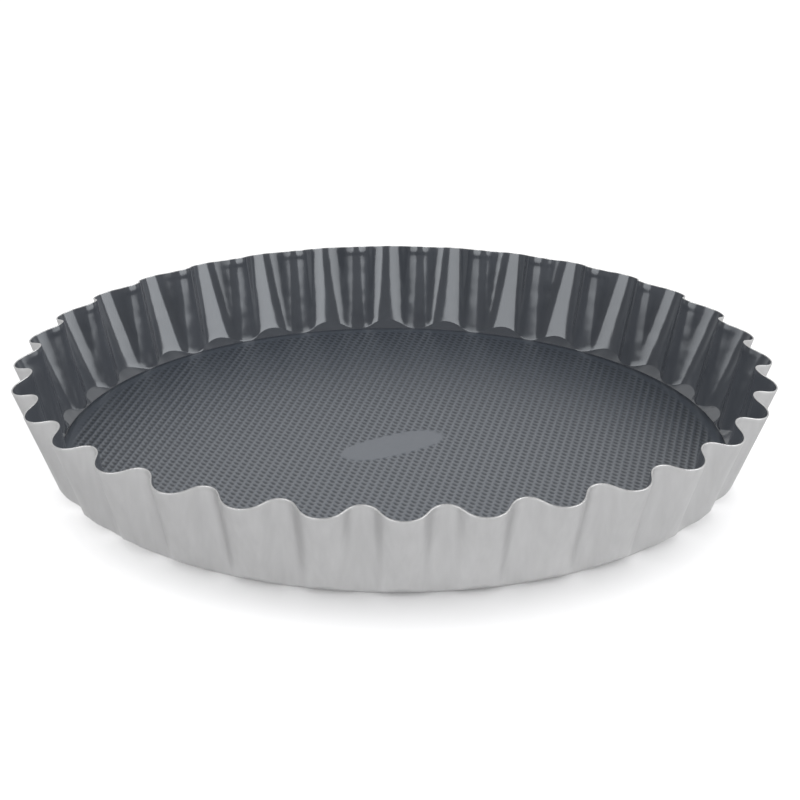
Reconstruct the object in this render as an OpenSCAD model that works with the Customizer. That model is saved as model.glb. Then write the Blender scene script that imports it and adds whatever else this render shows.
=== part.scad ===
// Fluted cake pan with a loose base that lifts out.
// The pan stands on z = 0, with +Z up and the origin at the centre of its underside.
// A lobe of the wall points along -Y.

/* [Rim] */
// Diameter over the lobes at the rim
rim_d = 280.5; // [262:0.5:320]
// Height of the rim at the grooves
rim_h = 35; // [20:0.5:60]
// How far the rim dips at the middle of each lobe
rim_dip = 2.3; // [0:0.1:5]
// Height of the band under the rim where the grooves flare outward
flare_h = 3.5; // [1.5:0.1:8]
// How far that band carries each groove outward
flare_out = 0.5; // [0:0.1:1.5]

/* [Flutes] */
// Number of flutes round the wall
flute_count = 32; // [20:1:44]
// Depth of a flute at the rim
flute_depth = 7.4; // [3:0.1:10]
// Roundness of the bends: near 0 is a zigzag, near 1 leaves no flat between the bends
bend_share = 0.76; // [0.3:0.01:0.95]
// Share of that roundness in the outward bend of each lobe
lobe_share = 0.6; // [0.3:0.01:0.7]

/* [Foot] */
// Diameter of the circle where the underside turns up into the wall
foot_d = 248.6; // [220:0.2:264]
// Height of the sloped band at the bottom of each groove
band_h = 0.6; // [0.3:0.05:1.5]
// Height to which the band rises in the scoop under each lobe
scoop_h = 3.4; // [1.8:0.1:8]
// Slope of the band and the scoops, from the horizontal
band_angle = 45; // [35:1:60]
// Width of the ledge that turns inward under the base
ledge_w = 4; // [2.5:0.5:20]

/* [Sheet] */
// Thickness of the sheet that the ring is pressed from
sheet_t = 0.5; // [0.3:0.05:1]
// Thickness of the non-stick layer
coat_t = 0.1; // [0.05:0.01:0.2]

/* [Base] */
// Thickness of the loose base's sheet
base_t = 0.5; // [0.3:0.05:1.5]
// Clearance between the base and the foot of the wall
base_gap = 0.4; // [0.2:0.05:1]

/* [Smoothness] */
// Steps along the outward bend of each lobe
lobe_steps = 3; // [2:1:4]
// Steps along the bend at the bottom of each groove
groove_steps = 2; // [2:1:4]
// Sides of the round base
base_sides = 256; // [64:8:512]

/* [Hidden] */

satin_steel = [0.74, 0.74, 0.75];
dark_coat = [0.26, 0.27, 0.29];
base_coat = [0.38, 0.40, 0.42];

// Radii at the rim, and at the circle where the underside turns up
lobe_rim_r = rim_d / 2;
groove_rim_r = lobe_rim_r - flute_depth;
foot_r = foot_d / 2;

// One flute in the flat: an outward arc, a straight flank and an inward arc
mean_rim_r = lobe_rim_r - flute_depth / 2;
half_pitch = PI * mean_rim_r / flute_count;
least_flank_angle = atan2(flute_depth, half_pitch);
flank_angle = least_flank_angle * (1 + bend_share);
bend_sum_r = (half_pitch * sin(flank_angle) - flute_depth * cos(flank_angle)) / (1 - cos(flank_angle));
lobe_r = bend_sum_r * lobe_share;
groove_r = bend_sum_r - lobe_r;

// The band and the scoops lie on one cone, which gains this much radius for each unit of height
band_run = 1 / tan(band_angle);
// How much a face at a depth rises at the corner of wall and band, as a share of that depth
foot_rise_share = (1 - sin(band_angle)) / cos(band_angle);

// Depths from the sheet's outer face: its inner face, and the face of the coat
coat_depth = sheet_t + coat_t;
ledge_r = foot_r - ledge_w;
seat_z = coat_depth;
base_r = cone_r(coat_depth, seat_z) - base_gap;

// Radius of the band's cone at height z, at a depth into the sheet
function cone_r(depth, z) = foot_r - depth / sin(band_angle) + z * band_run;

// Half a flute from lobe to groove: the distance along the wall, and the share of the flute's depth
half_flute = concat(
    [for (k = [0 : lobe_steps])
        let (a = flank_angle * k / lobe_steps)
        [lobe_r * sin(a), 1 - lobe_r * (1 - cos(a)) / flute_depth]],
    [for (k = [groove_steps : -1 : 0])
        let (a = flank_angle * k / groove_steps)
        [half_pitch - groove_r * sin(a), groove_r * (1 - cos(a)) / flute_depth]]);
last = len(half_flute) - 1;
whole_flute = concat(
    [for (k = [last : -1 : 1]) [-half_flute[k][0], half_flute[k][1]]],
    [for (k = [0 : last - 1]) half_flute[k]]);

// Stations round the pan: the angle from -Y towards +X, the share of the flute's depth,
// and the share of the scoop's height, which falls evenly from lobe to groove
along = [for (f = [0 : flute_count - 1]) for (p = whole_flute)
    [360 * (f + p[0] / (2 * half_pitch)) / flute_count, p[1], 1 - abs(p[0]) / half_pitch]];
stations = len(along);

function at(angle, r, z) = [r * sin(angle), -r * cos(angle), z];
function radius(p) = norm([p[0], p[1]]);
function mix(a, b, t) = a + (b - a) * t;

// Outer face at the foot and at the rim, and the straight line of the wall between them
function foot_z(station) = mix(band_h, scoop_h, station[2]);
function rim_z(station) = rim_h - rim_dip * station[1];
function rim_r(station) = groove_rim_r + flute_depth * station[1];
function wall_r(station, z) =
    let (rise = (z - foot_z(station)) / (rim_z(station) - foot_z(station)))
    mix(cone_r(0, foot_z(station)), rim_r(station) - flare_out * (1 - station[1]), rise);

// Rings of points round the outer face
foot_ring = [for (p = along) at(p[0], cone_r(0, foot_z(p)), foot_z(p))];
flare_ring = [for (p = along)
    let (z = rim_z(p) - flare_h)
    at(p[0], wall_r(p, z), z)];
rim_ring = [for (p = along) at(p[0], rim_r(p), rim_z(p))];
function flat_ring(r, z) = [for (p = along) at(p[0], r, z)];

// A ring moved to a depth into the sheet, square to the curve that it follows, and raised
function inward(ring, depth, raised = 0) = [for (i = [0 : stations - 1])
    let (before = ring[(i + stations - 1) % stations], after = ring[(i + 1) % stations])
    let (way = [after[0] - before[0], after[1] - before[1]] / radius(after - before))
    [ring[i][0] - way[1] * depth, ring[i][1] + way[0] * depth, ring[i][2] + raised]];

// The face of the sheet at a depth, from the edge of the ledge up to the rim
function face_up(depth) = [
    flat_ring(ledge_r, depth),
    flat_ring(cone_r(depth, depth), depth),
    inward(foot_ring, depth, depth * foot_rise_share),
    inward(flare_ring, depth),
    inward(rim_ring, depth)];
function reversed(rings) = [for (k = [len(rings) - 1 : -1 : 0]) rings[k]];

// The solid between two faces of the sheet
module between(outer_depth, inner_depth) {
    rings = concat(face_up(inner_depth), reversed(face_up(outer_depth)));
    count = len(rings);
    points = [for (ring = rings) for (p = ring) p];
    faces = [for (r = [0 : count - 1]) for (i = [0 : stations - 1])
        let (a = r * stations + i)
        let (b = r * stations + (i + 1) % stations)
        let (c = ((r + 1) % count) * stations + (i + 1) % stations)
        let (d = ((r + 1) % count) * stations + i)
        // Shared faces are cut along the same diagonal in both solids that touch there
        each (r < count / 2 ? [[a, b, c], [a, c, d]] : [[a, b, d], [b, c, d]])];
    polyhedron(points = points, faces = faces, convexity = 12);
}

// Pressed fluted wall with its sloped foot and the ledge under the base
module fluted_ring() {
    color(satin_steel)
        between(0, sheet_t);
}

// Non-stick layer on the inside of the wall and on top of the ledge
module ring_lining() {
    color(dark_coat)
        between(sheet_t, coat_depth);
}

// Loose round base, resting on the lined ledge
module base_plate() {
    color(satin_steel)
        translate([0, 0, seat_z])
            cylinder(r = base_r, h = base_t, $fn = base_sides);
}

// Non-stick layer on top of the base
module base_lining() {
    color(base_coat)
        translate([0, 0, seat_z + base_t])
            cylinder(r = base_r, h = coat_t, $fn = base_sides);
}

fluted_ring();
ring_lining();
base_plate();
base_lining();
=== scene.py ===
"""Fluted cake pan with a loose base, finished around its packed construction frame.

The file is laid out as an add-on and is run as a script. Every length is in metres, the pan stands on
z = 0 with +Z up, and a lobe of its wall points along -Y.
"""

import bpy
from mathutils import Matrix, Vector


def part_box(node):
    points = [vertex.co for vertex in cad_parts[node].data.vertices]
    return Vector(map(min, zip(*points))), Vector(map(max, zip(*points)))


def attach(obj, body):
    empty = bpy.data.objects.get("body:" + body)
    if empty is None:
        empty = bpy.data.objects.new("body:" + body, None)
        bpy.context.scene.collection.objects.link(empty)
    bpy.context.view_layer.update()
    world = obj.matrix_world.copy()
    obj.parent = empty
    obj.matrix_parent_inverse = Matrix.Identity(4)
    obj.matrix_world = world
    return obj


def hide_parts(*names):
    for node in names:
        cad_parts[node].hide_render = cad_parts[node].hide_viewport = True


bl_info = {
    "name": "Fluted cake pan",
    "version": (1, 0, 0),
    "blender": (4, 5, 0),
    "location": "3D View > Sidebar > Cake pan",
    "description": "Builds a fluted cake pan with a loose embossed base, and the studio around it",
    "category": "Add Mesh",
}

import math

import bmesh
import bpy
from bpy.props import FloatProperty, FloatVectorProperty, IntProperty, PointerProperty
from mathutils import Matrix, Vector

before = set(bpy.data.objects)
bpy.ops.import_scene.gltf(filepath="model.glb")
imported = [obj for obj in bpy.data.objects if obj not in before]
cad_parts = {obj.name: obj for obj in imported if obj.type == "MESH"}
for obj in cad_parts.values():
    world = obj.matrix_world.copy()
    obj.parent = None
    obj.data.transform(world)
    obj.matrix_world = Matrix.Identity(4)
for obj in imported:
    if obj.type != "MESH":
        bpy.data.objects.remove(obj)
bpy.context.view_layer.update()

# What the frame says
RING_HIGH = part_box("fluted_ring")[1]
PLATE_LOW, PLATE_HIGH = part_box("base_plate")
LINING_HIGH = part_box("base_lining")[1]


# Sizes and colours that a user would change

class PanSizes(bpy.types.PropertyGroup):
    """Sizes of the ring. The rim's radius and height come from the frame."""

    rim_radius: FloatProperty(
        name="Rim radius", description="Radius over the lobes at the rim",
        default=RING_HIGH.x, min=0.13, max=0.16, unit="LENGTH")
    rim_height: FloatProperty(
        name="Rim height", description="Height of the rim at the grooves",
        default=RING_HIGH.z, min=0.02, max=0.06, unit="LENGTH")
    rim_dip: FloatProperty(
        name="Rim dip", description="How far the rim dips at the middle of each lobe",
        default=0.0023, min=0.0, max=0.005, unit="LENGTH")
    flare_height: FloatProperty(
        name="Flare height", description="Height of the band under the rim where the grooves flare out",
        default=0.0021, min=0.0015, max=0.008, unit="LENGTH")
    flare_out: FloatProperty(
        name="Flare", description="How far the flare and the waist under it carry each groove outward",
        default=0.00005, min=0.0, max=0.0015, unit="LENGTH")
    waist_height: FloatProperty(
        name="Waist height", description="Height of the band under the flare where grooves stand upright",
        default=0.0017, min=0.0005, max=0.004, unit="LENGTH")
    waist_in: FloatProperty(
        name="Waist", description="How far that band holds each groove back from its slope",
        default=0.00018, min=0.0, max=0.001, unit="LENGTH")
    flute_count: IntProperty(
        name="Flutes", description="Number of flutes round the wall", default=32, min=20, max=44)
    flute_depth: FloatProperty(
        name="Flute depth", description="Depth of a flute at the rim",
        default=0.0074, min=0.003, max=0.01, unit="LENGTH")
    bend_share: FloatProperty(
        name="Bend share", description="Roundness of the bends at the rim: 0 is a zigzag, 1 leaves no flat",
        default=0.76, min=0.3, max=0.95, subtype="FACTOR")
    foot_bend_share: FloatProperty(
        name="Foot bend share", description="Roundness of the bends at the foot of the wall",
        default=0.26, min=0.1, max=0.95, subtype="FACTOR")
    lobe_share: FloatProperty(
        name="Lobe share", description="Share of that roundness in the outward bend of each lobe",
        default=0.6, min=0.3, max=0.7, subtype="FACTOR")
    foot_radius: FloatProperty(
        name="Foot radius", description="Radius of the circle where the underside turns up into the wall",
        default=0.1243, min=0.11, max=0.132, unit="LENGTH")
    band_height: FloatProperty(
        name="Band height", description="Height of the sloped band at the bottom of each groove",
        default=0.0006, min=0.0003, max=0.0015, unit="LENGTH")
    scoop_height: FloatProperty(
        name="Scoop height", description="Height to which the band rises under each lobe",
        default=0.0031, min=0.0018, max=0.008, unit="LENGTH")
    foot_depth: FloatProperty(
        name="Foot depth", description="Depth of a flute at the foot of the wall",
        default=0.0036, min=0.001, max=0.006, unit="LENGTH")
    band_angle: FloatProperty(
        name="Band angle", description="Slope of the band at the grooves, from the horizontal",
        default=math.radians(45), min=math.radians(35), max=math.radians(60), subtype="ANGLE")
    ledge_width: FloatProperty(
        name="Ledge width", description="Width of the ledge that turns inward under the base",
        default=0.004, min=0.0025, max=0.02, unit="LENGTH")
    sheet_thickness: FloatProperty(
        name="Sheet thickness", description="Thickness of the sheet that the ring is pressed from",
        default=0.0005, min=0.0003, max=0.001, unit="LENGTH")
    coat_thickness: FloatProperty(
        name="Coat thickness", description="Thickness of the non-stick layer",
        default=0.0001, min=0.00005, max=0.0002, unit="LENGTH")
    edge_drop: FloatProperty(
        name="Edge drop", description="How far the outer edge of the rim lies below its inner edge",
        default=0.00019, min=0.0, max=0.001, unit="LENGTH")
    coat_drop: FloatProperty(
        name="Coat drop", description="How far the layer ends below the edge of the sheet",
        default=0.0002, min=0.0, max=0.001, unit="LENGTH")


class BaseSizes(bpy.types.PropertyGroup):
    """Sizes of the loose base, which come from the frame, and of the field that is embossed on it."""

    radius: FloatProperty(
        name="Base radius", description="Radius of the loose base",
        default=PLATE_HIGH.x, min=0.1, max=0.13, unit="LENGTH")
    underside: FloatProperty(
        name="Underside", description="Height of the underside of the base",
        default=PLATE_LOW.z, min=0.0003, max=0.002, unit="LENGTH")
    sheet_top: FloatProperty(
        name="Sheet top", description="Height of the top of the base's sheet",
        default=PLATE_HIGH.z, min=0.0005, max=0.003, unit="LENGTH")
    coat_top: FloatProperty(
        name="Coat top", description="Height of the smooth margin round the field",
        default=LINING_HIGH.z, min=0.0006, max=0.004, unit="LENGTH")
    field_radius: FloatProperty(
        name="Field radius", description="Radius of the embossed field",
        default=0.1205, min=0.09, max=0.125, unit="LENGTH")
    cell_width: FloatProperty(
        name="Cell width", description="Distance between pits along a row",
        default=0.002914, min=0.001, max=0.01, unit="LENGTH")
    cell_length: FloatProperty(
        name="Cell length", description="Distance between rows of pits",
        default=0.002954, min=0.001, max=0.01, unit="LENGTH")
    row_angle: FloatProperty(
        name="Row angle", description="Direction of the rows, from the X axis",
        default=math.radians(-12.4), min=math.radians(-90), max=math.radians(90), subtype="ANGLE")
    pit_depth: FloatProperty(
        name="Pit depth", description="Depth of a pit under the web between the pits",
        default=0.00016, min=0.0, max=0.0005, unit="LENGTH")
    pit_length_share: FloatProperty(
        name="Pit length", description="Half the length of a pit, as a share of a cell",
        default=0.66, min=0.1, max=0.9, subtype="FACTOR")
    pit_width_share: FloatProperty(
        name="Pit width", description="Half the width of a pit, as a share of a cell",
        default=0.31, min=0.1, max=0.7, subtype="FACTOR")
    furrow_share: FloatProperty(
        name="Furrow", description="Depth of the furrow that joins the pits, as a share of their depth",
        default=0.65, min=0.0, max=1.0, subtype="FACTOR")
    patch_length: FloatProperty(
        name="Patch length", description="Length of the smooth patch in the middle of the field",
        default=0.043, min=0.0, max=0.1, unit="LENGTH")
    patch_width: FloatProperty(
        name="Patch width", description="Width of that patch",
        default=0.018, min=0.0, max=0.1, unit="LENGTH")
    patch_angle: FloatProperty(
        name="Patch angle", description="Direction of the patch, from the X axis",
        default=math.radians(32), min=math.radians(-90), max=math.radians(90), subtype="ANGLE")
    patch_place: FloatVectorProperty(
        name="Patch place", description="Middle of the patch", size=2,
        default=(-0.0006, -0.004), unit="LENGTH")


class PanDetail(bpy.types.PropertyGroup):
    """How finely the pan is modelled."""

    flute_steps: IntProperty(
        name="Steps a flute", description="Points along one flute", default=32, min=8, max=48)
    wall_cuts: IntProperty(
        name="Wall cuts", description="Rows of points between the scoops and the waist",
        default=10, min=2, max=20)
    cell_steps: IntProperty(
        name="Steps a cell", description="Points along one cell of the embossed field",
        default=4, min=3, max=5)
    foot_fillet: FloatProperty(
        name="Foot fillet", description="Size of the rounding where the ledge turns up into the band",
        default=0.0004, min=0.0001, max=0.001, unit="LENGTH")
    scoop_fillet: FloatProperty(
        name="Scoop fillet", description="Size of the rounding between the band and the wall",
        default=0.00035, min=0.0001, max=0.001, unit="LENGTH")
    waist_fillet: FloatProperty(
        name="Waist fillet", description="Size of the rounding above and under the waist",
        default=0.0005, min=0.0001, max=0.001, unit="LENGTH")
    edge_round: FloatProperty(
        name="Edge rounding", description="Size of the rounding of the cut edges of the sheets",
        default=0.00012, min=0.00002, max=0.0004, unit="LENGTH")
    # Height of the band of painted shade along the rim, which is darker than the steel round it
    rim_shade_band: FloatProperty(
        name="Edge band", description="Height of the darker metal along the rim",
        default=0.0002, min=0.0001, max=0.001, unit="LENGTH")


class PanColours(bpy.types.PropertyGroup):
    """Colours of the pan."""

    steel: FloatVectorProperty(
        name="Steel", description="Satin sheet metal", subtype="COLOR", size=3,
        default=(0.605, 0.605, 0.606), min=0.0, max=1.0)
    wall_coat: FloatVectorProperty(
        name="Wall coat", description="Non-stick layer on the wall", subtype="COLOR", size=3,
        default=(0.045, 0.049, 0.057), min=0.0, max=1.0)
    floor_coat: FloatVectorProperty(
        name="Floor coat", description="Non-stick layer on the base", subtype="COLOR", size=3,
        default=(0.055, 0.064, 0.079), min=0.0, max=1.0)
    sheen: FloatVectorProperty(
        name="Sheen", description="Tint of the gloss on the non-stick layers", subtype="COLOR", size=3,
        default=(0.92, 0.96, 1.0), min=0.0, max=1.0)
    table: FloatVectorProperty(
        name="Table", description="Pale surface that the pan stands on", subtype="COLOR", size=3,
        default=(0.42, 0.42, 0.425), min=0.0, max=1.0)


# The form of the flutes and of the wall's section

def mix(low, high, share):
    """The value that lies share of the way from low to high."""
    return low + (high - low) * share


def smooth_step(value):
    """A soft ramp from 0 to 1."""
    value = min(max(value, 0.0), 1.0)
    return value * value * (3 - 2 * value)


class Flute:
    """Half a flute in the flat: an outward arc, a straight flank and an inward arc."""

    def __init__(self, half_pitch, depth, bend_share, lobe_share):
        self.half_pitch = half_pitch
        self.depth = depth
        self.flank = math.atan2(depth, half_pitch) * (1 + bend_share)
        radii = half_pitch * math.sin(self.flank) - depth * math.cos(self.flank)
        radii /= 1 - math.cos(self.flank)
        self.lobe_bend = radii * lobe_share
        self.groove_bend = radii - self.lobe_bend

    def share(self, turn):
        """Share of the depth at a point, where turn is 0 on the lobe and 1 in the groove."""
        along = turn * self.half_pitch
        left = self.half_pitch - along
        lobe_end = self.lobe_bend * math.sin(self.flank)
        if along <= lobe_end:
            fall = self.lobe_bend - math.sqrt(self.lobe_bend ** 2 - along ** 2)
            return 1 - fall / self.depth
        if left <= self.groove_bend * math.sin(self.flank):
            rise = self.groove_bend - math.sqrt(self.groove_bend ** 2 - left ** 2)
            return rise / self.depth
        fall = self.lobe_bend * (1 - math.cos(self.flank)) + (along - lobe_end) * math.tan(self.flank)
        return 1 - fall / self.depth


class Section:
    """Radius and height of the wall's outer face at each of its corners, for a turn from lobe to groove."""

    def __init__(self, sizes, rim_drop):
        self.sizes = sizes
        self.rim_drop = rim_drop
        half_turn = math.pi / sizes.flute_count
        self.rim_flute = Flute(half_turn * (sizes.rim_radius - sizes.flute_depth / 2),
                               sizes.flute_depth, sizes.bend_share, sizes.lobe_share)
        self.foot_flute = Flute(half_turn * (sizes.foot_radius + sizes.foot_depth / 2),
                                sizes.foot_depth, sizes.foot_bend_share, sizes.lobe_share)

    def ledge(self, turn):
        """The inner edge of the ledge, a plain circle."""
        return self.sizes.foot_radius - self.sizes.ledge_width, 0.0

    def foot(self, turn):
        """Where the ledge turns up into the band, a plain circle."""
        return self.sizes.foot_radius, 0.0

    def scoop(self, turn):
        """Where the band turns up into the wall, high under a lobe and low under a groove."""
        height = mix(self.sizes.band_height, self.sizes.scoop_height, self.foot_flute.share(turn))
        groove_radius = self.sizes.foot_radius + self.sizes.band_height / math.tan(self.sizes.band_angle)
        return groove_radius + self.sizes.foot_depth * self.rim_flute.share(turn), height

    def true_rim(self, turn):
        """The rim before its outer edge is set lower."""
        share = self.rim_flute.share(turn)
        radius = self.sizes.rim_radius - self.sizes.flute_depth * (1 - share)
        return radius, self.sizes.rim_height - self.sizes.rim_dip * share

    def lean(self, turn):
        """How much of the flare and the waist a point has: 1 in the groove, soon 0 on the flanks."""
        return (1 - self.rim_flute.share(turn)) ** 2

    def slope(self, turn, depth_below_rim):
        """The straight slope of the wall at a depth below the rim."""
        low_radius, low = self.scoop(turn)
        rim_radius, high = self.true_rim(turn)
        height = high - depth_below_rim
        top_radius = rim_radius - self.sizes.flare_out * self.lean(turn)
        return mix(low_radius, top_radius, (height - low) / (high - low)), height

    def waist(self, turn):
        """The lower end of the waist."""
        return self.slope(turn, self.sizes.flare_height + self.sizes.waist_height)

    def flare(self, turn):
        """The upper end of the waist, where the flare begins."""
        radius, height = self.slope(turn, self.sizes.flare_height)
        return radius - self.sizes.waist_in * self.lean(turn), height

    def rim(self, turn):
        """The outer edge of the rim."""
        low_radius, low = self.flare(turn)
        high_radius, high = self.true_rim(turn)
        kept = 1 - self.rim_drop / self.sizes.flare_height
        return mix(low_radius, high_radius, kept), mix(low, high, kept)


# Modelling steps that several pieces share

# Points closer than this are taken as the same place
NEAR = 2e-6
# Steps of the roundings at the foot and the scoops, at the waist, and along the cut edges
FOOT_FILLET_STEPS = 3
WAIST_FILLET_STEPS = 2
EDGE_STEPS = 2
# Bends sharper than these are rounded off, or stay sharp in the shading
ROUNDED_ANGLE = math.radians(60)
SMOOTH_ANGLE = math.radians(50)
# How far down the painted shade on the rim fades out, in heights of its band
RIM_SHADE_END = 1.5


def edit_mesh():
    """The mesh in edit mode, ready to be selected by place."""
    mesh = bmesh.from_edit_mesh(bpy.context.object.data)
    mesh.verts.ensure_lookup_table()
    mesh.verts.index_update()
    return mesh


def select_points(chosen):
    """Selects the points for which chosen is true, and the edges and faces that they span."""
    bpy.ops.mesh.select_all(action="DESELECT")
    mesh = edit_mesh()
    for point in mesh.verts:
        point.select = chosen(point)
    mesh.select_flush_mode()
    bmesh.update_edit_mesh(bpy.context.object.data)


def start_edit():
    """Opens the new primitive in edit mode, with all its points selected."""
    bpy.ops.object.mode_set(mode="EDIT")
    bpy.ops.mesh.select_mode(type="VERT")
    bpy.ops.mesh.select_all(action="SELECT")


def name_piece(name):
    """Names the new primitive and its mesh, and gives the primitive."""
    piece = bpy.context.object
    piece.name = name
    piece.data.name = name
    return piece


def place_loop(place, radius, height):
    """Scales and lifts the selected points so that the one at this place comes to a radius and height."""
    growth = radius / place.xy.length
    bpy.ops.transform.resize(value=(growth, growth, 1), center_override=(0, 0, 0))
    bpy.ops.transform.translate(value=(0, 0, height - place.z))


def flutes_along(place, sizes):
    """How many flutes a place lies round from the lobe at the front."""
    return math.atan2(place.x, -place.y) / math.tau * sizes.flute_count


def step_of(place, sizes, detail):
    """Steps from the nearest lobe's middle, for a place round the pan."""
    steps = round(flutes_along(place, sizes) * detail.flute_steps) % detail.flute_steps
    return min(steps, detail.flute_steps - steps)


def shape_loop(sizes, detail, corner):
    """Moves each step of the selected loop to the radius and height that corner gives for its turn."""
    groups = {}
    for point in edit_mesh().verts:
        if point.select:
            groups.setdefault(step_of(point.co, sizes, detail), []).append(point.index)
    for step, indices in groups.items():
        chosen = set(indices)
        select_points(lambda point: point.index in chosen)
        place = edit_mesh().verts[indices[0]].co.copy()
        place_loop(place, *corner(2 * step / detail.flute_steps))
    loop = {index for indices in groups.values() for index in indices}
    select_points(lambda point: point.index in loop)


def select_corner(sizes, detail, corner):
    """Selects the loop of edges that lies on a corner of the section."""
    places = [corner(2 * step / detail.flute_steps) for step in range(detail.flute_steps // 2 + 1)]

    def lies_there(point):
        radius, height = places[step_of(point.co, sizes, detail)]
        return abs(point.co.z - height) < NEAR and abs(point.co.xy.length - radius) < NEAR

    select_points(lies_there)


def cut_wall(sizes, detail):
    """Adds rows of points between the scoops and the waist, where the wall has its only long edges."""
    bpy.ops.mesh.select_all(action="DESELECT")
    mesh = edit_mesh()
    for edge in mesh.edges:
        low, high = sorted(edge.verts, key=lambda point: point.co.z)
        if high.co.z - low.co.z > sizes.rim_height / 2:
            edge.select = True
    bmesh.update_edit_mesh(bpy.context.object.data)
    bpy.ops.mesh.subdivide_edgering(number_cuts=detail.wall_cuts, interpolation="LINEAR")


def add_wall(name, sizes, detail, rim_drop):
    """Adds the outer face of the ring, from the edge of the ledge to the rim, as an open skin."""
    section = Section(sizes, rim_drop)
    start_radius, start_height = section.ledge(0)
    bpy.ops.object.select_all(action="DESELECT")
    bpy.ops.mesh.primitive_circle_add(
        vertices=sizes.flute_count * detail.flute_steps,
        radius=start_radius, location=(0, 0, start_height))
    wall = name_piece(name)
    start_edit()
    for corner in (section.foot, section.scoop, section.waist, section.flare, section.rim):
        bpy.ops.mesh.extrude_edges_move()
        shape_loop(sizes, detail, corner)
    cut_wall(sizes, detail)
    for corner, size, steps in (
            (section.foot, detail.foot_fillet, FOOT_FILLET_STEPS),
            (section.scoop, detail.scoop_fillet, FOOT_FILLET_STEPS),
            (section.waist, detail.waist_fillet, WAIST_FILLET_STEPS),
            (section.flare, detail.waist_fillet, WAIST_FILLET_STEPS)):
        select_corner(sizes, detail, corner)
        bpy.ops.mesh.bevel(offset=size, segments=steps, affect="EDGES", clamp_overlap=False)
    bpy.ops.mesh.select_all(action="SELECT")
    return wall


def apply_modifier(piece, name, kind, **settings):
    """Adds a modifier with these settings and applies it."""
    modifier = piece.modifiers.new(name, kind)
    for setting, value in settings.items():
        setattr(modifier, setting, value)
    bpy.ops.object.modifier_apply(modifier=modifier.name)


def thicken(piece, thickness):
    """Gives an open skin its thickness, towards its inner side."""
    apply_modifier(piece, "Thickness", "SOLIDIFY", thickness=thickness, offset=-1,
                   use_even_offset=True, use_quality_normals=True)


def round_edges(piece, width):
    """Rounds the sharp edges of a piece."""
    apply_modifier(piece, "Rounded edges", "BEVEL", width=width, segments=EDGE_STEPS,
                   limit_method="ANGLE", angle_limit=ROUNDED_ANGLE, use_clamp_overlap=False)


def mark_rim_shade(piece, sizes, detail):
    """Marks the cut edge of the ring's rim, for the painted shade there."""
    section = Section(sizes, 0.0)
    marks = piece.data.attributes.new("rim_shade_share", "FLOAT", "POINT")
    for point in piece.data.vertices:
        flutes = flutes_along(point.co, sizes)
        height = section.true_rim(2 * abs(flutes - round(flutes)))[1]
        below = (height - point.co.z) / detail.rim_shade_band
        marks.data[point.index].value = smooth_step(RIM_SHADE_END - below)


def finish_piece(piece, material, body, node):
    """Shades a piece smooth, gives it its material, attaches it to what it moves with and hides the frame
    part that it stands for.
    """
    bpy.ops.object.select_all(action="DESELECT")
    piece.select_set(True)
    bpy.context.view_layer.objects.active = piece
    bpy.ops.object.shade_smooth_by_angle(angle=SMOOTH_ANGLE)
    piece.data.materials.clear()
    piece.data.materials.append(material)
    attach(piece, body)
    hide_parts(node)


# The embossed field

# How far a pit reaches, as a share of its half size, and how far the web stands over the smooth margin,
# as a share of the pit's depth
PIT_REACH = 1.15
WEB_RISE = 0.5
# Outline of the smooth patch: 2 is an ellipse and more is squarer
PATCH_SQUARENESS = 2.5
# Where the soft edge of the patch ends and how wide it is, as shares of the patch's half size
PATCH_END = 1.06
PATCH_FADE = 0.12
# Distance from the field to the circle that closes it, and between points that merge there, in cells
JOIN_CELLS = 1 / 4
MERGED_CELLS = 1 / 60


def along_and_across(x, y, angle):
    """A place as seen from axes that are turned by an angle."""
    cosine = math.cos(angle)
    sine = math.sin(angle)
    return x * cosine + y * sine, y * cosine - x * sine


def pit_share(x, y, base):
    """How deep a point of the lattice lies in its pit or furrow: 0 on the web, 1 at the bottom."""
    along_row, across_row = along_and_across(x, y, base.row_angle)
    along_row /= base.cell_width
    across_row /= base.cell_length
    along_row -= round(along_row)
    across_row -= round(across_row)
    width = (across_row + along_row) / math.sqrt(2) / base.pit_width_share
    length = (across_row - along_row) / math.sqrt(2) / base.pit_length_share
    pit = smooth_step(PIT_REACH - math.hypot(width, length))
    furrow = base.furrow_share * (1 + math.cos(math.tau * along_row)) / 2
    return pit + furrow * (1 - pit)


def patch_share(x, y, base):
    """1 inside the smooth patch in the middle of the field, 0 outside it."""
    along, across = along_and_across(
        x - base.patch_place[0], y - base.patch_place[1], base.patch_angle)
    length = abs(along) / (base.patch_length / 2)
    width = abs(across) / (base.patch_width / 2)
    reach = (length ** PATCH_SQUARENESS + width ** PATCH_SQUARENESS) ** (1 / PATCH_SQUARENESS)
    return smooth_step((PATCH_END - reach) / PATCH_FADE)


def rise_share(x, y, base):
    """1 inside the embossed field, fading to 0 at its edge."""
    return smooth_step((base.field_radius - math.hypot(x, y)) / base.cell_width)


def field_relief(x, y, base):
    """Height of the embossed field over the smooth margin, as a share of the pit depth."""
    pressed = (1 - patch_share(x, y, base)) * pit_share(x, y, base)
    return rise_share(x, y, base) * (WEB_RISE - pressed)


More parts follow.
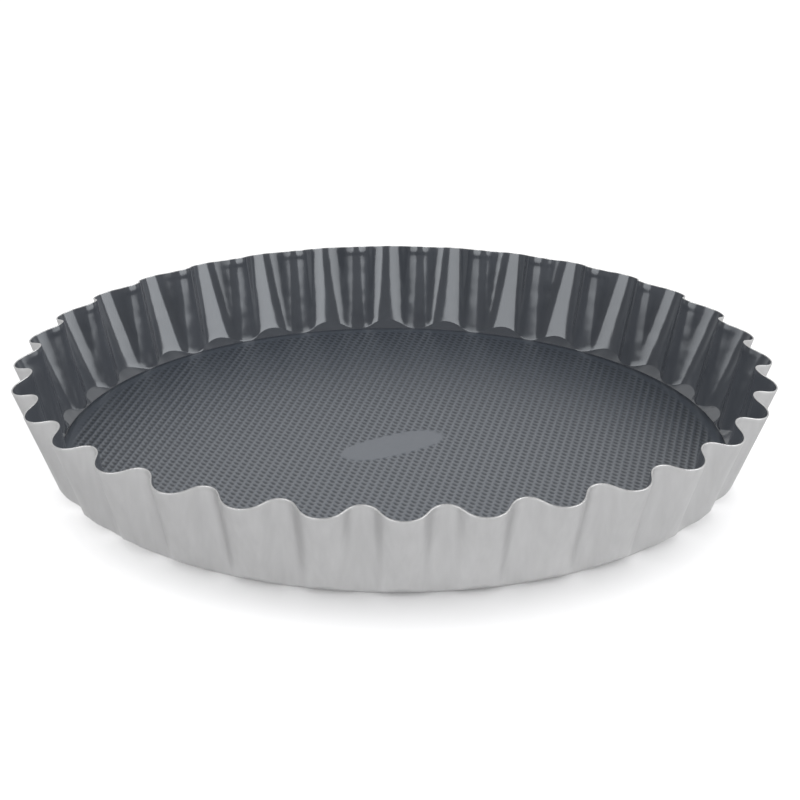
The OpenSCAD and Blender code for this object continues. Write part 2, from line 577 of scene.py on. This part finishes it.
def add_field_disc(name, base, detail, level):
    """Adds a flat disc at a height, whose points follow the rows of the embossed field."""
    across = 2 * math.ceil(base.field_radius / base.cell_width)
    along = 2 * math.ceil(base.field_radius / base.cell_length)
    bpy.ops.object.select_all(action="DESELECT")
    bpy.ops.mesh.primitive_grid_add(
        x_subdivisions=across * detail.cell_steps, y_subdivisions=along * detail.cell_steps,
        size=1, location=(0, 0, 0))
    disc = name_piece(name)
    start_edit()
    bpy.ops.transform.resize(
        value=(across * base.cell_width, along * base.cell_length, 1), center_override=(0, 0, 0))
    bpy.ops.transform.rotate(value=-base.row_angle, orient_axis="Z", center_override=(0, 0, 0))
    bpy.ops.transform.translate(value=(0, 0, level))
    select_points(lambda point: point.co.xy.length > base.field_radius)
    bpy.ops.mesh.delete(type="VERT")
    bpy.ops.mesh.select_all(action="SELECT")
    bpy.ops.mesh.region_to_loop()
    return disc


def spread_loop(radius, height):
    """Extrudes the selected loop and moves it out to a circle at a height."""
    bpy.ops.mesh.extrude_edges_move()
    bpy.ops.transform.tosphere(value=1)
    place = next(point.co.copy() for point in edit_mesh().verts if point.select)
    place_loop(place, radius, height)


def close_disc(base, detail, level, far_level):
    """Carries the edge of the field out to the rim of the disc, round it, and closes the far face."""
    rounding = min(detail.edge_round, abs(far_level - level) / 2)
    spread_loop(base.field_radius + base.cell_width * JOIN_CELLS, level)
    bpy.ops.mesh.remove_doubles(threshold=base.cell_width * MERGED_CELLS)
    spread_loop(base.radius - rounding, level)
    spread_loop(base.radius, level + math.copysign(rounding, far_level - level))
    spread_loop(base.radius, far_level)
    bpy.ops.mesh.edge_face_add()
    bpy.ops.mesh.select_all(action="SELECT")
    bpy.ops.mesh.normals_make_consistent(inside=False)


def emboss(disc, base, level):
    """Presses the field into the face of a disc at a height, and marks where it has pits."""
    marks = disc.data.attributes.new("field_share", "FLOAT", "POINT")
    for point in disc.data.vertices:
        if abs(point.co.z - level) < NEAR and point.co.xy.length < base.field_radius:
            x, y = point.co.xy
            point.co.z += base.pit_depth * field_relief(x, y, base)
            marks.data[point.index].value = rise_share(x, y, base) * (1 - patch_share(x, y, base))
    disc.data.update()


# Shader nodes

# Places of the colour sockets on a Mix node, because its number sockets have the same names
MIX_LOW = 6
MIX_HIGH = 7
MIX_RESULT = 2


def add_node(tree, kind, **settings):
    """Adds a shader node with these settings."""
    node = tree.nodes.new("ShaderNode" + kind)
    for setting, value in settings.items():
        setattr(node, setting, value)
    return node


def feed(tree, socket, value):
    """Links another node's output to a socket, or sets the socket to a plain value."""
    if isinstance(value, bpy.types.NodeSocket):
        tree.links.new(value, socket)
    else:
        socket.default_value = value


def feed_all(tree, node, values):
    """Feeds the inputs of a node by their names."""
    for title, value in values.items():
        feed(tree, node.inputs[title], value)


def number(tree, operation, *terms):
    """The result of a sum on numbers."""
    node = add_node(tree, "Math", operation=operation)
    for socket, term in zip(node.inputs, terms):
        feed(tree, socket, term)
    return node.outputs["Value"]


def vector(tree, operation, *terms):
    """The result of a sum on vectors."""
    node = add_node(tree, "VectorMath", operation=operation)
    for socket, term in zip(node.inputs, terms):
        feed(tree, socket, term)
    return node.outputs["Vector"]


def length_of(tree, term):
    """The length of a vector."""
    node = add_node(tree, "VectorMath", operation="LENGTH")
    feed(tree, node.inputs["Vector"], term)
    return node.outputs["Value"]


def part_of(tree, term, axis):
    """The part of a vector along an axis."""
    node = add_node(tree, "SeparateXYZ")
    feed(tree, node.inputs["Vector"], term)
    return node.outputs[axis]


def turned(tree, term, angle):
    """A vector turned round the Z axis."""
    node = add_node(tree, "VectorRotate", rotation_type="Z_AXIS")
    feed_all(tree, node, {"Vector": term, "Angle": angle})
    return node.outputs["Vector"]


def ramp(tree, value, reach, levels):
    """A value that runs softly from one level to another while a value runs over a reach."""
    node = add_node(tree, "MapRange", interpolation_type="SMOOTHSTEP")
    feed_all(tree, node, {
        "Value": value, "From Min": reach[0], "From Max": reach[1],
        "To Min": levels[0], "To Max": levels[1]})
    return node.outputs["Result"]


def noise(tree, place, scale, detail=2.0):
    """Soft noise from 0 to 1."""
    node = add_node(tree, "TexNoise")
    feed_all(tree, node, {"Vector": place, "Scale": scale, "Detail": detail})
    return node.outputs["Fac"]


def mixed(tree, share, low, high):
    """The number that lies share of the way from low to high."""
    node = add_node(tree, "Mix")
    feed_all(tree, node, {"Factor": share, "A": low, "B": high})
    return node.outputs["Result"]


def blend(tree, share, low, high):
    """The colour that lies share of the way from low to high."""
    node = add_node(tree, "Mix", data_type="RGBA", clamp_factor=False)
    feed(tree, node.inputs["Factor"], share)
    feed(tree, node.inputs[MIX_LOW], low)
    feed(tree, node.inputs[MIX_HIGH], high)
    return node.outputs[MIX_RESULT]


def bump(tree, height, distance, below=None):
    """The normal of a surface that a height from 0 to 1 lifts by a distance, over the normal below."""
    node = add_node(tree, "Bump")
    feed_all(tree, node, {"Height": height, "Distance": distance})
    if below is not None:
        feed(tree, node.inputs["Normal"], below)
    return node.outputs["Normal"]


# Effects that several materials share

# The level round which noise swings, the fineness of the streaks, and their share in the grain's height
NOISE_MIDDLE = 0.5
STREAK_DETAIL = 4.0
STREAK_HEIGHT = 0.5
# Where a pit is at full depth and where it ends, as shares of its half size
PIT_SHADE_REACH = (0.3, 1.05)
# Half a cell of the lattice, and the factors that leave out a vector's Z
HALF_CELL = (0.5, 0.5, 0.5)
FLAT = (1.0, 1.0, 0.0)


def new_group(name, inputs, outputs):
    """An empty shader node group with these named inputs and outputs, and the sockets at both ends."""
    tree = bpy.data.node_groups.new(name, "ShaderNodeTree")
    for title, kind in inputs:
        tree.interface.new_socket(title, in_out="INPUT", socket_type=kind)
    for title, kind in outputs:
        tree.interface.new_socket(title, in_out="OUTPUT", socket_type=kind)
    start = tree.nodes.new("NodeGroupInput").outputs
    end = tree.nodes.new("NodeGroupOutput").inputs
    return tree, start, end


def use_group(tree, group, values):
    """Places a group in a material with its own values, and gives its outputs."""
    node = add_node(tree, "Group", node_tree=group)
    feed_all(tree, node, values)
    return node.outputs


def sheet_grain():
    """Shared group: cloudy shade, streaks along one way and fine grain of a finished sheet."""
    known = bpy.data.node_groups.get("sheet_grain")
    if known:
        return known
    tree, start, end = new_group(
        "sheet_grain",
        (("Vector", "NodeSocketVector"), ("Streak Shape", "NodeSocketVector"),
         ("Cloud Scale", "NodeSocketFloat"), ("Cloud Amount", "NodeSocketFloat"),
         ("Streak Scale", "NodeSocketFloat"), ("Streak Amount", "NodeSocketFloat"),
         ("Grain Scale", "NodeSocketFloat")),
        (("Shade", "NodeSocketFloat"), ("Height", "NodeSocketFloat")))
    place = start["Vector"]
    drawn = vector(tree, "MULTIPLY", place, start["Streak Shape"])
    clouds = noise(tree, place, start["Cloud Scale"])
    cloud = number(tree, "SUBTRACT", clouds, NOISE_MIDDLE)
    streaks = noise(tree, drawn, start["Streak Scale"], STREAK_DETAIL)
    streak = number(tree, "SUBTRACT", streaks, NOISE_MIDDLE)
    shade = number(tree, "MULTIPLY_ADD", cloud, start["Cloud Amount"], 1.0)
    shade = number(tree, "MULTIPLY_ADD", streak, start["Streak Amount"], shade)
    grain = noise(tree, place, start["Grain Scale"])
    tree.links.new(shade, end["Shade"])
    tree.links.new(number(tree, "MULTIPLY_ADD", streak, STREAK_HEIGHT, grain), end["Height"])
    return tree


def field_lattice():
    """Shared group: the pits of the embossed field, and its depth with the furrows that join them."""
    known = bpy.data.node_groups.get("field_lattice")
    if known:
        return known
    tree, start, end = new_group(
        "field_lattice",
        (("Vector", "NodeSocketVector"), ("Row Angle", "NodeSocketFloat"),
         ("Cell", "NodeSocketVector"), ("Pit", "NodeSocketVector"), ("Furrow", "NodeSocketFloat")),
        (("Pit", "NodeSocketFloat"), ("Depth", "NodeSocketFloat")))
    rows = turned(tree, start["Vector"], number(tree, "MULTIPLY", start["Row Angle"], -1.0))
    cells = vector(tree, "DIVIDE", rows, start["Cell"])
    shifted = vector(tree, "FRACTION", vector(tree, "ADD", cells, HALF_CELL))
    offset = vector(tree, "SUBTRACT", shifted, HALF_CELL)
    diagonal = turned(tree, vector(tree, "MULTIPLY", offset, FLAT), math.radians(-45))
    reach = length_of(tree, vector(tree, "DIVIDE", diagonal, start["Pit"]))
    pit = ramp(tree, reach, PIT_SHADE_REACH, (1.0, 0.0))
    wave = number(tree, "COSINE", number(tree, "MULTIPLY", part_of(tree, offset, "X"), math.tau))
    furrow = number(tree, "MULTIPLY", number(tree, "MULTIPLY_ADD", wave, 0.5, 0.5), start["Furrow"])
    web = number(tree, "SUBTRACT", 1.0, pit)
    tree.links.new(pit, end["Pit"])
    tree.links.new(number(tree, "MULTIPLY_ADD", furrow, web, pit), end["Depth"])
    return tree


# Materials

# How fine and how strong the clouds, streaks and grain of each finish are
STEEL_GRAIN = {
    "Streak Shape": (1.0, 1.0, 0.06), "Cloud Scale": 45.0, "Cloud Amount": 0.10,
    "Streak Scale": 420.0, "Streak Amount": 0.16, "Grain Scale": 2600.0,
}
WALL_GRAIN = {
    "Streak Shape": (1.0, 1.0, 0.2), "Cloud Scale": 70.0, "Cloud Amount": 0.25,
    "Streak Scale": 300.0, "Streak Amount": 0.2, "Grain Scale": 1500.0,
}
FLOOR_GRAIN = {
    "Streak Shape": (1.0, 1.0, 1.0), "Cloud Scale": 60.0, "Cloud Amount": 0.15,
    "Streak Scale": 500.0, "Streak Amount": 0.25, "Grain Scale": 1300.0,
}
STEEL_GRAIN_HEIGHT = 0.000006
WALL_GRAIN_HEIGHT = 0.000002
FLOOR_GRAIN_HEIGHT = 0.000006

STEEL_ROUGHNESS = 0.42
WALL_ROUGHNESS = 0.15
FLOOR_ROUGHNESS = 0.30
PIT_ROUGHNESS = 0.6
COAT_IOR = 1.6

# Brightness of the rim's cut edge under its painted shade, of the web, and of the pits under their painted
# shade, as shares of their colours
RIM_PAINTED_SHADE = 0.75
WEB_SHADE = 1.04
PIT_PAINTED_SHADE = 0.44

# The slight waves in the wall's layer
WAVE_SCALE = 110.0
WAVE_DETAIL = 1.0
WAVE_HEIGHT = 0.0002


def new_material(name):
    """A node material and its shader, which is linked to its output."""
    material = bpy.data.materials.new(name)
    material.use_nodes = True
    material.node_tree.nodes.clear()
    output = material.node_tree.nodes.new("ShaderNodeOutputMaterial")
    shader = material.node_tree.nodes.new("ShaderNodeBsdfPrincipled")
    material.node_tree.links.new(shader.outputs["BSDF"], output.inputs["Surface"])
    return material, shader


def shaded(colour, factor):
    """A colour made darker or lighter, with its alpha."""
    return (*(part * factor for part in colour), 1.0)


def tinted(tree, colour, shade):
    """A colour made darker or lighter by a value that changes over the surface."""
    return blend(tree, shade, shaded(colour, 0.0), shaded(colour, 1.0))


def new_coat(name, colours):
    """A node material for a non-stick layer and its shader, with the gloss that both layers share."""
    material, shader = new_material(name)
    feed_all(material.node_tree, shader, {"IOR": COAT_IOR, "Specular Tint": shaded(colours.sheen, 1.0)})
    return material, shader


def satin_steel(colours):
    """Satin sheet metal: soft clouds, faint streaks up the wall, fine grain and a painted shade along the
    cut edge of the rim.
    """
    known = bpy.data.materials.get("satin_steel")
    if known:
        return known
    material, shader = new_material("satin_steel")
    tree = material.node_tree
    place = add_node(tree, "TexCoord").outputs["Object"]
    grain = use_group(tree, sheet_grain(), {"Vector": place, **STEEL_GRAIN})
    # Painted shade along the rim's cut edge, darker than the steel round it
    edge = add_node(tree, "Attribute", attribute_name="rim_shade_share").outputs["Fac"]
    surface = tinted(tree, colours.steel, grain["Shade"])
    feed_all(tree, shader, {
        "Base Color": blend(tree, edge, surface, shaded(colours.steel, RIM_PAINTED_SHADE)),
        "Metallic": 1.0,
        "Roughness": number(tree, "MULTIPLY", grain["Shade"], STEEL_ROUGHNESS),
        "Normal": bump(tree, grain["Height"], STEEL_GRAIN_HEIGHT)})
    return material


def wall_coat(colours):
    """Glossy dark non-stick layer: a slightly wavy skin with fine orange peel."""
    material, shader = new_coat("wall_coat", colours)
    tree = material.node_tree
    place = add_node(tree, "TexCoord").outputs["Object"]
    grain = use_group(tree, sheet_grain(), {"Vector": place, **WALL_GRAIN})
    waves = bump(tree, noise(tree, place, WAVE_SCALE, WAVE_DETAIL), WAVE_HEIGHT)
    feed_all(tree, shader, {
        "Base Color": tinted(tree, colours.wall_coat, grain["Shade"]),
        "Roughness": number(tree, "MULTIPLY", grain["Shade"], WALL_ROUGHNESS),
        "Normal": bump(tree, grain["Height"], WALL_GRAIN_HEIGHT, waves)})
    return material


def floor_coat(colours, base):
    """Non-stick layer on the embossed base: painted shade in the pits and furrows, and duller in the pits.
    """
    material, shader = new_coat("floor_coat", colours)
    tree = material.node_tree
    place = add_node(tree, "TexCoord").outputs["Object"]
    grain = use_group(tree, sheet_grain(), {"Vector": place, **FLOOR_GRAIN})
    lattice = use_group(tree, field_lattice(), {
        "Vector": place, "Row Angle": base.row_angle,
        "Cell": (base.cell_width, base.cell_length, 1.0),
        "Pit": (base.pit_width_share, base.pit_length_share, 1.0), "Furrow": base.furrow_share})
    field = add_node(tree, "Attribute", attribute_name="field_share").outputs["Fac"]
    pit = number(tree, "MULTIPLY", lattice["Pit"], field)
    depth = number(tree, "MULTIPLY", lattice["Depth"], field)
    # Painted shade in the recesses: half way between the pits alone and the pits with their furrows
    darker = number(tree, "MULTIPLY", number(tree, "ADD", pit, depth), 0.5)
    web_colour = shaded(colours.floor_coat, WEB_SHADE)
    painted_pit_colour = shaded(colours.floor_coat, PIT_PAINTED_SHADE)
    roughness = ramp(tree, pit, (0.0, 1.0), (FLOOR_ROUGHNESS, PIT_ROUGHNESS))
    pressed = bump(tree, number(tree, "SUBTRACT", 1.0, depth), base.pit_depth)
    feed_all(tree, shader, {
        "Base Color": blend(tree, darker, web_colour, painted_pit_colour),
        "Roughness": number(tree, "MULTIPLY", grain["Shade"], roughness),
        "Normal": bump(tree, grain["Height"], FLOOR_GRAIN_HEIGHT, pressed)})
    return material


# Operators, one for each piece

class PAN_OT_add_ring_shell(bpy.types.Operator):
    """Add the fluted steel ring with its scoops, its flared rim and the ledge under the base"""

    bl_idname = "pan.add_ring_shell"
    bl_label = "Add fluted ring"
    bl_options = {"REGISTER", "UNDO"}

    def execute(self, context):
        sizes = context.scene.pan_sizes
        detail = context.scene.pan_detail
        shell = add_wall("ring_shell", sizes, detail, sizes.edge_drop)
        bpy.ops.object.mode_set(mode="OBJECT")
        thicken(shell, sizes.sheet_thickness)
        round_edges(shell, detail.edge_round)
        mark_rim_shade(shell, sizes, detail)
        material = satin_steel(context.scene.pan_colours)
        finish_piece(shell, material, "ring", "fluted_ring")
        return {"FINISHED"}


class PAN_OT_add_ring_coat(bpy.types.Operator):
    """Add the dark non-stick layer on the inside of the ring"""

    bl_idname = "pan.add_ring_coat"
    bl_label = "Add ring coat"
    bl_options = {"REGISTER", "UNDO"}

    def execute(self, context):
        sizes = context.scene.pan_sizes
        detail = context.scene.pan_detail
        coat = add_wall("ring_coat", sizes, detail, sizes.edge_drop + sizes.coat_drop)
        bpy.ops.transform.shrink_fatten(value=-sizes.sheet_thickness, use_even_offset=True)
        bpy.ops.object.mode_set(mode="OBJECT")
        thicken(coat, sizes.coat_thickness)
        material = wall_coat(context.scene.pan_colours)
        finish_piece(coat, material, "ring", "ring_lining")
        return {"FINISHED"}


class PAN_OT_add_base_sheet(bpy.types.Operator):
    """Add the steel sheet of the loose base"""

    bl_idname = "pan.add_base_sheet"
    bl_label = "Add base sheet"
    bl_options = {"REGISTER", "UNDO"}

    def execute(self, context):
        base = context.scene.pan_base
        detail = context.scene.pan_detail
        sheet = add_field_disc("base_sheet", base, detail, base.underside)
        close_disc(base, detail, base.underside, base.sheet_top)
        bpy.ops.object.mode_set(mode="OBJECT")
        emboss(sheet, base, base.underside)
        material = satin_steel(context.scene.pan_colours)
        finish_piece(sheet, material, "base", "base_plate")
        return {"FINISHED"}


class PAN_OT_add_base_coat(bpy.types.Operator):
    """Add the non-stick layer with its embossed field on top of the base"""

    bl_idname = "pan.add_base_coat"
    bl_label = "Add base coat"
    bl_options = {"REGISTER", "UNDO"}

    def execute(self, context):
        base = context.scene.pan_base
        detail = context.scene.pan_detail
        coat = add_field_disc("base_coat", base, detail, base.coat_top)
        close_disc(base, detail, base.coat_top, base.sheet_top)
        bpy.ops.object.mode_set(mode="OBJECT")
        emboss(coat, base, base.coat_top)
        material = floor_coat(context.scene.pan_colours, base)
        finish_piece(coat, material, "base", "base_lining")
        return {"FINISHED"}


# Stage

# Where the camera stands as seen from the origin, and how it is turned
CAMERA_DISTANCE = 0.8627
CAMERA_HEIGHT_ANGLE = math.radians(22.855)
CAMERA_SIDE_ANGLE = math.radians(-1.401)
CAMERA_PITCH = math.radians(21.76)
CAMERA_YAW = math.radians(1.554)
CAMERA_ROLL = math.radians(0.3)
CAMERA_LENS = 103.6

# Light of the dim room, of the backdrop behind the pan, and the white that the camera sees there
ROOM_LIGHT = 0.3
BACKDROP_LIGHT = 1.1
WHITE = 1.1
# Where the backdrop's light starts and is full, as the Y part of a direction
BACKDROP_REACH = (0.1, 0.7)

TABLE_SIZE = 8
TABLE_ROUGHNESS = 0.9

# The camera sees the table glowing away from the pan, with a painted shadow round the pan: the middle of
# that shadow, how far from there the glow starts and is full, and how bright it is
PAINTED_SHADOW_MIDDLE = (0.004, -0.035, 0.0)
GLOW_REACH = (0.078, 0.140)
GLOW = 0.68
# The even glow that the table gives off towards the pan, a painted light in place of the light it would
# send back
TABLE_LIGHT = 0.2

# How bright the lower edge of a softbox is, as a share of its middle, and from where to where up the
# softbox its light grows full
SOFTBOX_LOW_SHARE = 0.35
SOFTBOX_FADE = (0.0, 0.5)

# Each round softbox: side angle from the front, height angle and distance; width and height; brightness
SOFTBOXES = (
    ("softbox_left", (math.radians(-48), math.radians(24), 1.5), (1.8, 1.53), 3.8),
    ("softbox_right", (math.radians(66), math.radians(24), 1.5), (1.95, 1.6), 4.4),
)


def add_camera(context):
    """Adds the camera at the photograph's viewing angle."""
    data = bpy.data.cameras.new("camera")
    data.lens = CAMERA_LENS
    camera = bpy.data.objects.new("camera", data)
    context.scene.collection.objects.link(camera)
    flat = CAMERA_DISTANCE * math.cos(CAMERA_HEIGHT_ANGLE)
    place = Vector((flat * math.sin(CAMERA_SIDE_ANGLE), -flat * math.cos(CAMERA_SIDE_ANGLE),
                    CAMERA_DISTANCE * math.sin(CAMERA_HEIGHT_ANGLE)))
    ahead = Vector((math.sin(CAMERA_YAW) * math.cos(CAMERA_PITCH),
                    math.cos(CAMERA_YAW) * math.cos(CAMERA_PITCH), -math.sin(CAMERA_PITCH)))
    level_right = Vector((math.cos(CAMERA_YAW), -math.sin(CAMERA_YAW), 0))
    level_up = level_right.cross(ahead)
    right = math.cos(CAMERA_ROLL) * level_right + math.sin(CAMERA_ROLL) * level_up
    up = math.cos(CAMERA_ROLL) * level_up - math.sin(CAMERA_ROLL) * level_right
    turn = Matrix((right, up, -ahead)).transposed()
    camera.matrix_world = Matrix.Translation(place) @ turn.to_4x4()
    context.scene.camera = camera


def add_table(context):
    """Adds the pale surface that the pan stands on, which glows for the camera away from the pan and leaves
    a painted shadow round it.
    """
    bpy.ops.object.select_all(action="DESELECT")
    bpy.ops.mesh.primitive_plane_add(size=TABLE_SIZE, location=(0, 0, 0))
    table = bpy.context.object
    table.name = "table"
    material, shader = new_material("table")
    tree = material.node_tree
    place = add_node(tree, "TexCoord").outputs["Object"]
    away = length_of(tree, vector(tree, "SUBTRACT", place, PAINTED_SHADOW_MIDDLE))
    seen = add_node(tree, "LightPath").outputs["Is Camera Ray"]
    feed_all(tree, shader, {
        "Base Color": shaded(context.scene.pan_colours.table, 1.0),
        "Roughness": TABLE_ROUGHNESS,
        "Emission Color": (1, 1, 1, 1),
        "Emission Strength": mixed(tree, seen, TABLE_LIGHT, ramp(tree, away, GLOW_REACH, (0.0, GLOW)))})
    table.data.materials.append(material)


def add_world(context):
    """Adds the dim room with its pale backdrop, which the camera sees as plain white."""
    world = bpy.data.worlds.new("studio")
    context.scene.world = world
    world.use_nodes = True
    tree = world.node_tree
    direction = add_node(tree, "TexCoord").outputs["Generated"]
    backward = part_of(tree, direction, "Y")
    light = ramp(tree, backward, BACKDROP_REACH, (ROOM_LIGHT, BACKDROP_LIGHT))
    seen = add_node(tree, "LightPath").outputs["Is Camera Ray"]
    feed_all(tree, tree.nodes["Background"], {
        "Color": (1, 1, 1, 1),
        "Strength": mixed(tree, seen, light, WHITE)})


def dim_downward(data):
    """Lets a softbox grow dimmer towards its lower edge."""
    data.use_nodes = True
    tree = data.node_tree
    upward = part_of(tree, add_node(tree, "NewGeometry").outputs["Parametric"], "Y")
    level = ramp(tree, upward, SOFTBOX_FADE, (SOFTBOX_LOW_SHARE, 1.0))
    feed(tree, tree.nodes["Emission"].inputs["Strength"], level)


def add_softbox(context, name, place, size, brightness):
    """Adds a softbox that faces the pan. Its place is a side angle, a height angle and a distance."""
    side, rise, distance = place
    width, height = size
    data = bpy.data.lights.new(name, "AREA")
    data.shape = "ELLIPSE"
    data.size = width
    data.size_y = height
    area = math.pi / 4 * width * height
    data.energy = brightness * math.pi * area
    dim_downward(data)
    softbox = bpy.data.objects.new(name, data)
    context.scene.collection.objects.link(softbox)
    outward = Vector((math.sin(side) * math.cos(rise), -math.cos(side) * math.cos(rise), math.sin(rise)))
    facing = outward.to_track_quat("Z", "Y").to_matrix().to_4x4()
    softbox.matrix_world = Matrix.Translation(outward * distance) @ facing
    softbox.visible_camera = False


class PAN_OT_set_stage(bpy.types.Operator):
    """Set the pale table, the studio lights and the camera"""

    bl_idname = "pan.set_stage"
    bl_label = "Set stage"
    bl_options = {"REGISTER", "UNDO"}

    def execute(self, context):
        add_camera(context)
        add_table(context)
        add_world(context)
        for softbox in SOFTBOXES:
            add_softbox(context, *softbox)
        context.scene.view_settings.view_transform = "Standard"
        return {"FINISHED"}


# The panel and the registration

class PAN_PT_parts(bpy.types.Panel):
    """Lists the steps that build the pan"""

    bl_label = "Cake pan"
    bl_idname = "PAN_PT_parts"
    bl_space_type = "VIEW_3D"
    bl_region_type = "UI"
    bl_category = "Cake pan"

    def draw(self, context):
        column = self.layout.column()
        for step in STEPS:
            column.operator(step.bl_idname)


STEPS = (
    PAN_OT_add_ring_shell,
    PAN_OT_add_ring_coat,
    PAN_OT_add_base_sheet,
    PAN_OT_add_base_coat,
    PAN_OT_set_stage,
)
GROUPS = {
    "pan_sizes": PanSizes,
    "pan_base": BaseSizes,
    "pan_detail": PanDetail,
    "pan_colours": PanColours,
}


def register():
    """Registers the classes and gives each scene its settings."""
    for kind in (*GROUPS.values(), *STEPS, PAN_PT_parts):
        bpy.utils.register_class(kind)
    for name, group in GROUPS.items():
        setattr(bpy.types.Scene, name, PointerProperty(type=group))


def unregister():
    """Takes the settings and the classes away again."""
    for name in GROUPS:
        delattr(bpy.types.Scene, name)
    for kind in reversed((*GROUPS.values(), *STEPS, PAN_PT_parts)):
        bpy.utils.unregister_class(kind)


def main():
    """Builds the pan and its stage."""
    register()
    bpy.ops.pan.add_ring_shell()
    bpy.ops.pan.add_ring_coat()
    bpy.ops.pan.add_base_sheet()
    bpy.ops.pan.add_base_coat()
    bpy.ops.pan.set_stage()


if __name__ == "__main__":
    main()
